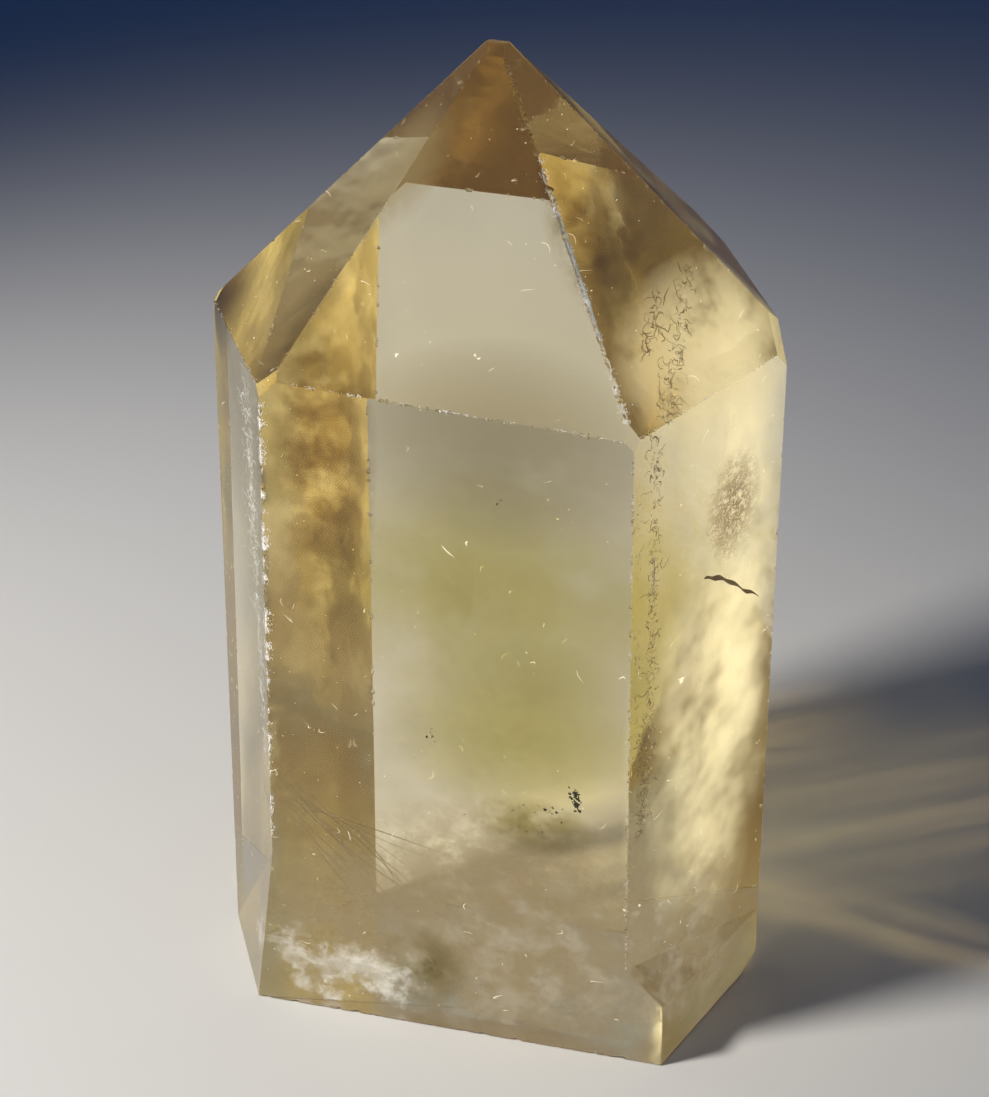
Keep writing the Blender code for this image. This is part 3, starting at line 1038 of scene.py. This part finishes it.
# Dust specks: size in mm, shape, raggedness, rings and spokes, how strongly they gather low down,
# how far below the tip and above the base they stay, and how far inside the facets, in mm.
DUST_SIZE = 0.035
DUST_SHAPE = (1.5, 1.0, 0.5)
DUST_LUMP = (0.3, 1, 4)
DUST_SINK = 1.4
DUST_TOP, DUST_FLOOR = 6, 1
DUST_DEPTH = 0.4
# Fibres: how many, points along each, radius, half-lengths and bends in mm, how strongly they
# gather low down, how far below the tip and above the base, and how far inside the facets, in mm.
FIBRES = 110
FIBRE_STEPS = 6
FIBRE_RADIUS = 0.024
FIBRE_REACH = 0.45
FIBRE_BEND = 0.2
FIBRE_SINK = 1.8
FIBRE_TOP, FIBRE_FLOOR = 14, 2
FIBRE_DEPTH = 0.6
FIBRE_SKIN = 0.2


def cluster(centre, spread, count, size, rng):
    """Lumps scattered round a centre by a normal spread, each turned at random."""
    centres = np.array(centre) + rng.normal(0, 1, (count, 3)) * np.array(spread)
    axes = random_axes(count, rng)
    half = size * rng.lognormal(-0.3, 0.45, (count, 3)) * GRAIN_SHAPE
    return many_lumps(keep_inside(centres, SHEET_DEPTH), axes, half, rng, *GRAIN)


class CITRINE_OT_specks(bpy.types.Operator):
    """Make the small green grains, the bright specks and the fine fibres inside the stone"""

    bl_idname = "citrine.specks"
    bl_label = "Specks and fibres"

    def execute(self, context):
        settings = context.scene.citrine_inclusions
        rng = np.random.default_rng(SEEDS["specks"])
        # Chlorite is a dark green mineral with no glow of its own.
        chlorite = grain_material("chlorite_grains", settings.speck_colour, 0.0)
        grains = join_meshes([cluster(*group, rng) for group in GREEN_GRAINS])
        add_inclusion("green_grains", grains, chlorite)

        count = settings.dust_count
        low, high = POINTS_MM.min(axis=0), POINTS_MM.max(axis=0)
        # More specks low down: the height follows a power of an even spread.
        height = (rng.uniform(0, 1, count) ** DUST_SINK) * (high[2] - DUST_TOP) + DUST_FLOOR
        flat = rng.uniform(low[:2], high[:2], (count, 2))
        centres = keep_inside(np.c_[flat, height], DUST_DEPTH)
        axes = random_axes(count, rng)
        half = DUST_SIZE * rng.lognormal(0, 0.5, (count, 3)) * DUST_SHAPE
        meshes = [many_lumps(centres, axes, half, rng, *DUST_LUMP)]
        meshes += [cluster(place, SPECK_SPREAD, SPECK_LUMPS, size, rng) for place, size in BRIGHT_SPECKS]
        rise = rng.uniform(0, 1, FIBRES) ** FIBRE_SINK * (high[2] - FIBRE_TOP) + FIBRE_FLOOR
        starts = keep_inside(np.c_[rng.uniform(low[:2], high[:2], (FIBRES, 2)), rise], FIBRE_DEPTH)
        reach = rng.normal(0, FIBRE_REACH, (FIBRES, 3))
        bend = rng.normal(0, FIBRE_BEND, (FIBRES, 1, 3))
        paths = keep_inside(bowed_paths(starts, reach, bend, FIBRE_STEPS), FIBRE_SKIN)
        meshes.append(thread_tubes(paths, FIBRE_RADIUS * rng.lognormal(0, 0.3, FIBRES)))
        # Bubbles and flakes that glint as they catch the lamp: the glint is painted light, an emission.
        glints = grain_material("bubble_glints", linear("#fff6e0"), 0.9)
        add_inclusion("bright_specks", join_meshes(meshes), glints)
        return {"FINISHED"}


# The dark healed crack behind the right facet: points along it, how far it reaches in, its height,
# its half thickness at the ends and its ripple in mm, the ripple's pace, and points along and across.
CRACK_PATH = (
    (15.2, -8.6, 43.7),
    (16.2, -7.6, 43.1),
    (17.3, -6.4, 41.9),
    (18.6, -5.1, 40.1),
    (19.9, -3.8, 38.6),
)
CRACK_DEPTH = 0.75
CRACK_HEIGHT = 0.42
CRACK_END = 0.15
CRACK_RIPPLE = 0.10
RIPPLE_PACE = 23.0
CRACK_GRID = (30, 8)
# The speckled veil patch above it: centre, half width, half height and scatter in depth, flakes,
# flake size and widest turn, and a flake's length, width and thickness against its size.
PATCH_CENTRE = (17.3, -6.1, 48.6)
PATCH_HALVES = (2.7, 4.6)
PATCH_SCATTER = 0.35
PATCH_FLAKES = 420
PATCH_FLAKE_SIZE = 0.075
PATCH_TURN = 3
PATCH_SHAPE = (1.3, 1.0, 0.4)
PATCH_FILM = (((17.1, -5.9, 48.6), 3.4, 5.4, -44, 0, 0.12),)


class CITRINE_OT_crack(bpy.types.Operator):
    """Make the dark healed crack and the speckled patch of flakes behind the right facet"""

    bl_idname = "citrine.crack"
    bl_label = "Crack and speckled patch"

    def execute(self, context):
        rng = np.random.default_rng(SEEDS["crack"])
        # Iron stain has seeped into the crack, so it is nearly black; its faint glow is painted light.
        stained = grain_material("stained_crack", linear("#5f4a24"), 0.30, 0.6)
        add_inclusion("healed_crack", self.crack_sheet(), stained)

        normal, _ = FACETS["right"]
        across, up = across_and_up(normal)
        half_width, half_height = PATCH_HALVES
        angle = rng.uniform(0, math.tau, PATCH_FLAKES)
        radius = rng.uniform(0, 1, PATCH_FLAKES) ** 0.6
        centres = np.array(PATCH_CENTRE) + across * (half_width * radius * np.cos(angle))[:, None]
        centres = centres + up * (half_height * radius * np.sin(angle))[:, None]
        centres = centres + normal * rng.normal(0, PATCH_SCATTER, PATCH_FLAKES)[:, None]
        half = PATCH_FLAKE_SIZE * rng.lognormal(-0.1, 0.45, (PATCH_FLAKES, 3)) * PATCH_SHAPE
        axes = turned_axes(normal, up, rng.uniform(-PATCH_TURN, PATCH_TURN, PATCH_FLAKES))
        mesh = many_lumps(keep_inside(centres, DEEP), axes, half, rng, *FLAKE)
        # Flat bubbles in a healed crack: a frosty sparkle over a brownish stain. The sparkle and the stain's
        # glow are painted light.
        add_inclusion("speckled_patch", mesh, grain_material("frosty_flakes", linear("#f0e4c4"), 0.55))
        film = veil_material("stained_film", linear("#a68e62"), 0.68, 0.7, 0.92, 0.25, 0.52)
        sheets_piece("patch_film", PATCH_FILM, rng, film)
        return {"FINISHED"}

    def crack_sheet(self):
        """Sheet along the crack's path, tilted inwards and down, tall in the middle, with a slight ripple."""
        steps, rows = CRACK_GRID
        path = np.array(CRACK_PATH)
        run = np.linspace(0, 1, steps)
        stations = np.linspace(0, 1, len(path))
        line = np.stack([np.interp(run, stations, path[:, k]) for k in range(3)], axis=1)
        drop = np.linspace(-0.5, 0.5, rows)
        depth = CRACK_DEPTH * np.sin(run * math.pi) ** 0.6 + CRACK_END
        inward = unit(-FACETS["right"][0])
        ripple = CRACK_RIPPLE * np.sin(run * RIPPLE_PACE)
        rise = ripple[:, None] + CRACK_HEIGHT * drop * depth[:, None]
        points = line[:, None] + inward * (drop * depth[:, None])[..., None] + np.array(UP) * rise[..., None]
        return keep_inside(points.reshape(-1, 3), DEEP), grid_faces(steps, rows)


# ---- studio

# Half the floor's side in mm, and how far below the base it lies, so that the base still mirrors
# from inside.
FLOOR_HALF = 2000.0
AIR_GAP = 0.08
# The lamp: its place and aim in mm, its cone in degrees, how soft the cone's rim is, its radius in mm
# and its colour.
LAMP_PLACE = (-175.0, -68.0)
LAMP_AIM = (-50.0, -20.0, 0.0)
LAMP_CONE = 63.5
LAMP_BLEND = 0.85
LAMP_RADIUS = 24
LAMP_COLOUR = "#fffdf8"
# Patches of thrown light: centre (x, y) in mm, heading in degrees, half length and half width in mm,
# strength, and how many streaks lie across it.
THROWN_LIGHT = (
    ((36.0, 15.0), 17, 62.0, 14.0, 0.095, 3.0),
    ((10.0, 22.0), 20, 30.0, 14.0, 0.30, 2.0),
    ((34.0, 0.0), -22, 30.0, 5.0, 0.12, 1.0),
    ((-14.0, 12.5), 45, 13.0, 5.0, 0.8, 1.5),
)
# Its colour seen straight and seen through the stone, and how much light gathers under the stone.
THROWN_COLOUR = "#f6d382"
THROUGH_COLOUR = "#ffedc0"
GATHERED_LIGHT = 0.12
# Skies as colour and strength: the one that the camera and the floor see, the one that the stone
# shows, and the one that lights it from within.
DIM_SKY = ((0.16, 0.38, 1.12, 1), 0.072)
STONE_SKY = ((0.92, 1.0, 1.05, 1), 0.46)
INNER_SKY = ((1.0, 0.98, 0.94, 1), 0.12)


class CITRINE_OT_studio(bpy.types.Operator):
    """Make the pale floor, the lamp and the sky"""

    bl_idname = "citrine.studio"
    bl_label = "Studio"

    def execute(self, context):
        settings = context.scene.citrine_studio
        corners = [(-1, -1), (1, -1), (1, 1), (-1, 1)]
        points = [(x * FLOOR_HALF, y * FLOOR_HALF, -AIR_GAP) for x, y in corners]
        floor = new_object("floor", points, [(0, 1, 2, 3)])
        # Uncoated paper, pressed smooth: it scatters light evenly and has no shine.
        material, tree = new_material("pale_paper")
        paper = add_node(tree, "ShaderNodeBsdfDiffuse", values={"Color": (*settings.floor_colour, 1.0)})
        both = add_node(tree, "ShaderNodeAddShader", {0: paper, 1: self.thrown_light(tree)})
        add_node(tree, "ShaderNodeOutputMaterial", {"Surface": both})
        floor.data.materials.append(material)
        self.add_lamp(context, settings)
        self.add_sky(context)
        return {"FINISHED"}

    def thrown_light(self, tree):
        """The golden light that the stone throws on the paper: streaks in its shadow, which run away
        from the lamp, a bright patch close behind its left side, and a little more seen through it."""
        coords = add_node(tree, "ShaderNodeTexCoord").outputs["Object"]
        total = None
        for (x, y), heading, half_length, half_width, strength, streaks in THROWN_LIGHT:
            turned = add_node(
                tree,
                "ShaderNodeMapping",
                {"Vector": coords},
                {
                    "Location": (x * MM, y * MM, 0),
                    "Rotation": (0, 0, math.radians(heading)),
                    "Scale": (half_length * MM, half_width * MM, 1),
                },
                vector_type="TEXTURE",
            )
            spot = add_node(tree, "ShaderNodeTexGradient", {"Vector": turned}, gradient_type="SPHERICAL")
            soft = add_node(
                tree,
                "ShaderNodeMapRange",
                {"Value": spot.outputs["Fac"]},
                span(0.0, 0.7, 0.0, strength),
                interpolation_type="SMOOTHSTEP",
            )
            lines = add_node(tree, "ShaderNodeMapping", {"Vector": turned}, {"Scale": (0.9, streaks, 1)})
            noise = add_node(
                tree,
                "ShaderNodeTexNoise",
                {"Vector": lines},
                {"Scale": 1.6, "Detail": 2.0, "Roughness": 0.5},
            )
            level = add_node(tree, "ShaderNodeMapRange", {"Value": noise}, span(0.35, 0.68, 0.15, 1.0))
            amount = add_node(tree, "ShaderNodeMath", {0: soft, 1: level}, operation="MULTIPLY")
            if total is None:
                total = amount
            else:
                total = add_node(tree, "ShaderNodeMath", {0: total, 1: amount})
        seen_through = add_node(tree, "ShaderNodeLightPath").outputs["Is Transmission Ray"]
        lift = add_node(
            tree,
            "ShaderNodeMath",
            {0: seen_through, 2: total},
            {1: GATHERED_LIGHT},
            operation="MULTIPLY_ADD",
        )
        colour = add_node(
            tree,
            "ShaderNodeMix",
            {"Factor": seen_through},
            {MIX_A: (*linear(THROWN_COLOUR), 1.0), MIX_B: (*linear(THROUGH_COLOUR), 1.0)},
            data_type="RGBA",
        )
        return add_node(tree, "ShaderNodeEmission", {"Strength": lift, "Color": colour.outputs[MIX_OUT]})

    def add_lamp(self, context, settings):
        """One soft lamp close by on the left, whose pool of light fades out behind the stone."""
        light = bpy.data.lights.new("lamp", "SPOT")
        light.energy = settings.lamp_power
        light.shadow_soft_size = LAMP_RADIUS * MM
        light.spot_size = math.radians(LAMP_CONE)
        light.spot_blend = LAMP_BLEND
        light.color = linear(LAMP_COLOUR)
        lamp = bpy.data.objects.new("lamp", light)
        lamp.location = (LAMP_PLACE[0] * MM, LAMP_PLACE[1] * MM, settings.lamp_height)
        aim = Vector(LAMP_AIM) * MM - lamp.location
        lamp.rotation_euler = aim.to_track_quat("-Z", "Y").to_euler()
        context.scene.collection.objects.link(lamp)

    def add_sky(self, context):
        """A soft white sky that the stone shows, and a dim blue one that fills the shadows."""
        world = bpy.data.worlds.new("studio")
        context.scene.world = world
        world.use_nodes = True
        world.cycles.sampling_method = "NONE"
        tree = world.node_tree
        tree.nodes.clear()
        dim, stone, inner = [
            add_node(tree, "ShaderNodeBackground", values={"Color": colour, "Strength": strength})
            for colour, strength in (DIM_SKY, STONE_SKY, INNER_SKY)
        ]
        path = add_node(tree, "ShaderNodeLightPath").outputs
        scattered = add_node(
            tree, "ShaderNodeMath", {0: path["Diffuse Depth"]}, {1: 0.5}, operation="GREATER_THAN"
        )
        through = add_node(tree, "ShaderNodeMixShader", {0: scattered, 1: stone, 2: inner})
        hidden = add_node(
            tree,
            "ShaderNodeMath",
            {0: path["Is Diffuse Ray"], 1: path["Is Camera Ray"]},
            operation="MAXIMUM",
        )
        final = add_node(tree, "ShaderNodeMixShader", {0: hidden, 1: through, 2: dim})
        add_node(tree, "ShaderNodeOutputWorld", {0: final})


# The camera: where it stands in mm, how far it looks down and rolls in degrees, its lens in mm, and
# where its view begins in mm.
CAMERA_PLACE = (-0.225, -205.08, 187.70)
CAMERA_DOWN = 35.79
CAMERA_ROLL = 0.39
CAMERA_LENS = 105.05
CAMERA_START = 10
# Light mirrors many times inside the stone before it leaves, and passes through many sheets.
MIRRORINGS = 11
SHEETS_PASSED = 28


class CITRINE_OT_camera(bpy.types.Operator):
    """Set the camera, and how deep light may travel inside the stone"""

    bl_idname = "citrine.camera"
    bl_label = "Camera"

    def execute(self, context):
        data = bpy.data.cameras.new("camera")
        data.lens = CAMERA_LENS
        data.clip_start = CAMERA_START * MM
        camera = bpy.data.objects.new("camera", data)
        place = Matrix.Translation(Vector(CAMERA_PLACE) * MM)
        turn = Matrix.Rotation(math.radians(90 - CAMERA_DOWN), 4, "X")
        roll = Matrix.Rotation(math.radians(CAMERA_ROLL), 4, "Z")
        camera.matrix_world = place @ turn @ roll
        context.scene.collection.objects.link(camera)
        context.scene.camera = camera
        context.scene.view_settings.view_transform = "Standard"
        cycles = context.scene.cycles
        cycles.use_light_tree = False
        cycles.max_bounces = MIRRORINGS
        cycles.transmission_bounces = MIRRORINGS
        cycles.glossy_bounces = MIRRORINGS
        cycles.transparent_max_bounces = SHEETS_PASSED
        return {"FINISHED"}


class CITRINE_PT_sidebar(bpy.types.Panel):
    """Sidebar list of the settings and steps"""

    bl_idname = "CITRINE_PT_sidebar"
    bl_label = "Citrine crystal point"
    bl_space_type = "VIEW_3D"
    bl_region_type = "UI"
    bl_category = "Citrine"

    def draw(self, context):
        for name in SETTINGS:
            box = self.layout.box()
            group = getattr(context.scene, name)
            for key in group.bl_rna.properties.keys():
                if key not in ("rna_type", "name"):
                    box.prop(group, key)
        for step in STEPS:
            self.layout.operator(step.bl_idname)


SETTINGS = {
    "citrine_stone": StoneSettings,
    "citrine_inclusions": InclusionSettings,
    "citrine_studio": StudioSettings,
}
STEPS = (
    CITRINE_OT_studio,
    CITRINE_OT_camera,
    CITRINE_OT_stone,
    CITRINE_OT_bruises,
    CITRINE_OT_veils,
    CITRINE_OT_needles,
    CITRINE_OT_specks,
    CITRINE_OT_crack,
)


def register():
    """Register the settings, steps and panel."""
    for name, group in SETTINGS.items():
        bpy.utils.register_class(group)
        setattr(bpy.types.Scene, name, PointerProperty(type=group))
    for step in STEPS:
        bpy.utils.register_class(step)
    bpy.utils.register_class(CITRINE_PT_sidebar)


def unregister():
    """Take the panel, steps and settings away again."""
    bpy.utils.unregister_class(CITRINE_PT_sidebar)
    for step in reversed(STEPS):
        bpy.utils.unregister_class(step)
    for name, group in reversed(SETTINGS.items()):
        delattr(bpy.types.Scene, name)
        bpy.utils.unregister_class(group)


def main():
    """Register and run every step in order."""
    register()
    bpy.ops.citrine.studio()
    bpy.ops.citrine.camera()
    bpy.ops.citrine.stone()
    bpy.ops.citrine.bruises()
    bpy.ops.citrine.veils()
    bpy.ops.citrine.needles()
    bpy.ops.citrine.specks()
    bpy.ops.citrine.crack()


if __name__ == "__main__":
    main()
